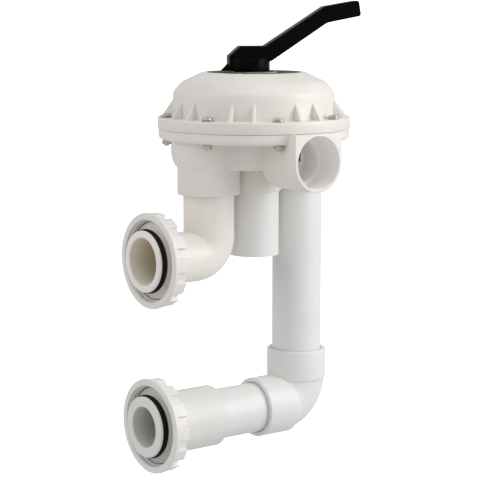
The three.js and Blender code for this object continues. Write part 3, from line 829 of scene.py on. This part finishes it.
def thread(radius, depth, pitch, low, high):
    """A closed helical ridge that stands inwards from a wall, with run-outs at both ends."""
    turns = (high - low) / pitch
    steps = int(turns * 72)
    bm = bmesh.new()
    previous = None
    for k in range(steps + 1):
        share = k / steps
        angle = 2 * math.pi * turns * share
        fade = min(1, 12 * share, 12 * (1 - share))
        crest = radius - max(depth * fade, 0.05)
        height = low + (high - low) * share
        root = radius + 0.6
        section = [(root, -1.5), (crest, -0.5), (crest, 0.5), (root, 1.5)]
        ring = [bm.verts.new((r * math.cos(angle), r * math.sin(angle), height + z)) for r, z in section]
        if previous is None:
            bm.faces.new(ring)
        else:
            for i in range(4):
                j = (i + 1) % 4
                bm.faces.new([previous[i], previous[j], ring[j], ring[i]])
        previous = ring
    bm.faces.new(previous)
    return finished(bm)


def union_nut_shape():
    """A ring at the front, a barrel with lugs behind it, and a thread and a lip inside."""
    skin = turned([
        (NUT_THREAD_R + 0.8, 0, 0.3), (NUT_RING_R, 0, 1.2), (NUT_RING_R, 5, 1.2), (NUT_BODY_R, 6.5, 1),
        (NUT_BODY_R - 1, NUT_DEPTH, 1.2), (NUT_LIP_R, NUT_DEPTH, 1), (NUT_LIP_R, NUT_LIP_FRONT, 0.5),
        (NUT_THREAD_R, NUT_LIP_FRONT, 1), (NUT_THREAD_R, 1.2),
    ], 192)
    lugs = []
    for angle in around(LUG_COUNT):
        lug = block((NUT_BODY_R - 3, -LUG_HALF_WIDTH, 4), (LUG_R, LUG_HALF_WIDTH, NUT_DEPTH - 0.6))
        lugs.append(turned_to(bevelled(lug, 1, 3), angle))
    whole = joined(skin, *lugs, thread(NUT_THREAD_R, THREAD_DEPTH, THREAD_PITCH, 1.9, 13))
    return moved(whole, ALONG_X)


def tail_corners(bore):
    """Outline of a union's tail, from its nose past the O-ring groove to its flange."""
    return [
        (bore + 0.8, TAIL_NOSE, 0.4), (TAIL_R, TAIL_NOSE, 2), (TAIL_R, TAIL_GROOVE, 0.3),
        (TAIL_GROOVE_R, TAIL_GROOVE), (TAIL_GROOVE_R, TAIL_SHOULDER, 0.5), (TAIL_R, TAIL_SHOULDER, 0.6),
        (TAIL_R, TAIL_FLANGE, 0.8), (TAIL_FLANGE_R, TAIL_FLANGE, 0.8),
        (TAIL_FLANGE_R, TAIL_FLANGE_BACK, 0.8),
    ]


for level, place, nut_body in (("upper", UPPER, "upper_nut"), ("lower", LOWER, "lower_nut")):
    add_piece(f"{level}_lugged_nut", union_nut_shape(), place, NUT_WHITE, "nut_plastic", nut_body,
              f"{level}_union_nut")
    seal_radius = TAIL_GROOVE_R + GAP + SEAL_SECTION
    seal = moved(ring_torus(seal_radius, SEAL_SECTION, (TAIL_GROOVE + TAIL_SHOULDER) / 2), ALONG_X)
    add_piece(f"{level}_seal", seal, place, RUBBER, "rubber", "valve", f"{level}_union_o_ring")

# ---- Upper run -----------------------------------------------------------------------

STREET_BEND_R = 22.5
STREET_BORE_R = 25
SPIGOT_TOP = street_high.z


def street_elbow_shape():
    """A union's tail, a tight bend and a spigot that goes up into the body's left socket."""
    leg = STREET_X - STREET_BEND_R
    tail = turned([
        (0, TAIL_NOSE), *tail_corners(0)[1:], (PIPE_R, TAIL_FLANGE_BACK, 2), (PIPE_R, leg + 0.5),
        (0, leg + 0.5),
    ])
    corner = moved(bend(PIPE_R, STREET_BEND_R, 64), Matrix.Translation((STREET_X, 0, 0)))
    upright = moved(turned([
        (0, STREET_BEND_R - 0.5), (PIPE_R, STREET_BEND_R - 0.5), (PIPE_R, SPIGOT_TOP, 1), (0, SPIGOT_TOP),
    ]), Matrix.Translation((STREET_X, 0, 0)))
    outside = joined(moved(tail, ALONG_X), corner, upright)
    bore = STREET_BORE_R
    mouth = turned([
        (0, TAIL_NOSE - 2), (29.5, TAIL_NOSE - 2), (28.6, TAIL_NOSE), (27.6, TAIL_NOSE + 1.2),
        (bore, 22), (bore, 58), (0, 58),
    ])
    bore_bend = moved(bend(bore, 30, 48), Matrix.Translation((STREET_X, 0, 0)))
    riser = moved(rod(bore, 29.5, SPIGOT_TOP + 1), Matrix.Translation((STREET_X, 0, 0)))
    return carved(outside, joined(moved(mouth, ALONG_X), bore_bend, riser))


add_piece("street_bend", street_elbow_shape(), UPPER, CREAM, "elbow_plastic", "valve",
          "street_elbow", "upper_tail")

# ---- Pipes ---------------------------------------------------------------------------


def pipe_shape(length):
    return turned([
        (PIPE_BORE_R, 0, 0.5), (PIPE_R, 0, 0.8), (PIPE_R, length, 0.8), (PIPE_BORE_R, length, 0.5),
    ])


def upright_pipe(low, high):
    middle = (low + high) / 2
    return pipe_shape(high.z - low.z), Matrix.Translation((middle.x, 0, low.z))


for name, node, low, high in (
    ("middle_tube", "centre_tube", tube_low, tube_high),
    ("long_pipe", "drop_pipe", drop_low, drop_high),
):
    shape, place = upright_pipe(low, high)
    add_piece(name, shape, place, PIPE, "pipe_plastic", "valve", node)

level_place = Matrix.Translation((short_low.x, 0, LOWER_Z)) @ ALONG_X
level_shape = pipe_shape(short_high.x - short_low.x)
add_piece("level_pipe", level_shape, level_place, PIPE, "pipe_plastic", "valve", "short_pipe")

# ---- Lower elbow and tailpiece -------------------------------------------------------

ELBOW_REACH = DROP_X - elbow_low.x
ELBOW_BEND_R = 34
ELBOW_R = 34.6
ELBOW_SOCKET_R = 36.3
SOCKET_DEPTH = 36
TAILPIECE_R = 36.5
TAILPIECE_BORE_R = 24


def lower_elbow_shape():
    """A quarter bend between two sockets: one up to the long pipe, one along to the union."""
    stop = ELBOW_REACH - SOCKET_DEPTH
    outside = bend(ELBOW_R, ELBOW_BEND_R, 64)
    legs = []
    bores = []
    upright = Matrix.Identity(4)
    level = Matrix.Rotation(-math.pi / 2, 4, "Y")
    for lean, shoulder, shoulder_r, soft in ((upright, 31, ELBOW_R, 1.5), (level, 21, 31, 6)):
        leg = turned([
            (0, shoulder - 8), (shoulder_r, shoulder - 8), (shoulder_r, shoulder - 2.5, 1),
            (ELBOW_SOCKET_R, shoulder, soft), (ELBOW_SOCKET_R, ELBOW_REACH, 1.4), (0, ELBOW_REACH),
        ])
        bore = turned([
            (0, 27), (PIPE_BORE_R, 27), (PIPE_BORE_R, stop, 0.5), (SOCKET_R - 0.1, stop),
            (SOCKET_R, ELBOW_REACH - 1.5), (SOCKET_R + 1.3, ELBOW_REACH),
            (SOCKET_R + 1.3, ELBOW_REACH + 2), (0, ELBOW_REACH + 2),
        ])
        legs.append(moved(leg, lean))
        bores.append(moved(bore, lean))
    return carved(joined(outside, *legs), joined(bend(PIPE_BORE_R, 28.5, 48), *bores))


def tailpiece_shape():
    """A union's tail that widens into a socket for the level pipe."""
    end = tailpiece_high.x
    stop = end - SOCKET_DEPTH
    return moved(turned([
        *tail_corners(TAILPIECE_BORE_R), (TAILPIECE_R, TAIL_FLANGE_BACK, 1.5),
        (TAILPIECE_R, end - 3, 2), (SOCKET_R + 1.5, end, 0.8), (SOCKET_R + 0.6, end),
        (SOCKET_R, end - 1), (SOCKET_R, stop), (TAILPIECE_BORE_R, stop, 1),
        (TAILPIECE_BORE_R, TAIL_NOSE + 1.2),
    ]), ALONG_X)


elbow_place = LOWER @ Matrix.Translation((DROP_X, 0, 0))
add_piece("lower_bend", lower_elbow_shape(), elbow_place, PIPE, "pipe_plastic", "valve", "lower_elbow")
add_piece("tail_coupling", tailpiece_shape(), LOWER, TAIL, "pipe_plastic", "valve", "lower_tailpiece")

# ---- Finishes of the CAD pieces that stay --------------------------------------------

STAYING = {
    "rotor": WHITE, "spider_gasket": RUBBER, "cover_o_ring": RUBBER, "stem_o_ring_1": RUBBER,
    "stem_o_ring_2": RUBBER, "spring": WIRE, "spring_washer": STEEL,
}
for node, material in STAYING.items():
    bpy.data.objects[node].data.materials.clear()
    bpy.data.objects[node].data.materials.append(material)

# ---- Camera, floor and light ---------------------------------------------------------

FLOOR_DROP = 0.12
CAMERA_DISTANCE = 2.005
CAMERA_AZIMUTH = math.radians(37.71)
CAMERA_HEIGHT = 0.156
CAMERA_PITCH = math.radians(8.28)
CAMERA_YAW = math.radians(0.47)
FOCAL = 125.9


def add_camera():
    data = bpy.data.cameras.new("camera")
    data.lens = FOCAL
    data.sensor_width = 36
    camera = bpy.data.objects.new("camera", data)
    bpy.context.scene.collection.objects.link(camera)
    camera.location = (
        AXIS_X / 1000 - CAMERA_DISTANCE * math.sin(CAMERA_AZIMUTH),
        -CAMERA_DISTANCE * math.cos(CAMERA_AZIMUTH),
        PARTING_Z / 1000 + CAMERA_HEIGHT,
    )
    camera.rotation_euler = (math.pi / 2 - CAMERA_PITCH, 0, CAMERA_YAW - CAMERA_AZIMUTH)
    bpy.context.scene.camera = camera


def add_area(name, azimuth, elevation, distance, size, power, target=(AXIS_X / 1000, 0, 0.05), spread=180):
    """A soft light that looks at the target, in metres. Azimuth 0 is in front, towards -Y."""
    data = bpy.data.lights.new(name, "AREA")
    data.shape = "RECTANGLE"
    data.size, data.size_y = size
    data.energy = power
    data.spread = math.radians(spread)
    light = bpy.data.objects.new(name, data)
    bpy.context.scene.collection.objects.link(light)
    a, e = math.radians(azimuth), math.radians(elevation)
    back = Vector((math.sin(a) * math.cos(e), -math.cos(a) * math.cos(e), math.sin(e)))
    light.location = Vector(target) + back * distance
    light.rotation_mode = "QUATERNION"
    light.rotation_quaternion = (-back).to_track_quat("-Z", "Y")


def add_floor():
    """A white studio floor that curves up into a wall all round. Only the camera sees it."""
    mesh = lathe(rounded([(0, 0), (8, 0, 4), (8, 9, 4), (0, 9)], steps=10), 96, False)
    floor = bpy.data.objects.new("floor", mesh)
    bpy.context.scene.collection.objects.link(floor)
    floor.location.z = cad_low.z - FLOOR_DROP
    material, _, shader = new_material("floor")
    shader.inputs["Base Color"].default_value = (0.85, 0.85, 0.85, 1)
    shader.inputs["Roughness"].default_value = 0.9
    shader.inputs["Emission Color"].default_value = (1, 1, 1, 1)
    shader.inputs["Emission Strength"].default_value = 1
    mesh.materials.append(material)
    floor.visible_diffuse = False
    floor.visible_glossy = False
    floor.visible_shadow = False


def add_world(strength):
    world = bpy.data.worlds.new("studio")
    bpy.context.scene.world = world
    world.use_nodes = True
    background = world.node_tree.nodes["Background"]
    background.inputs["Color"].default_value = (1, 1, 1, 1)
    background.inputs["Strength"].default_value = strength


add_camera()
add_floor()
add_world(0.62)
add_area("key", 38, 22, 2.2, (1.4, 1.8), 28)
add_area("top", -40, 75, 2.0, (1.6, 1.6), 3.5)
add_area("fill", -105, 24, 2.4, (1.0, 1.6), 7.5)
add_area("low", 28, 4, 1.6, (0.4, 0.4), 0.008, (STREET_X / 1000, 0, 0.03), 18)
bpy.context.scene.view_settings.view_transform = "Standard"
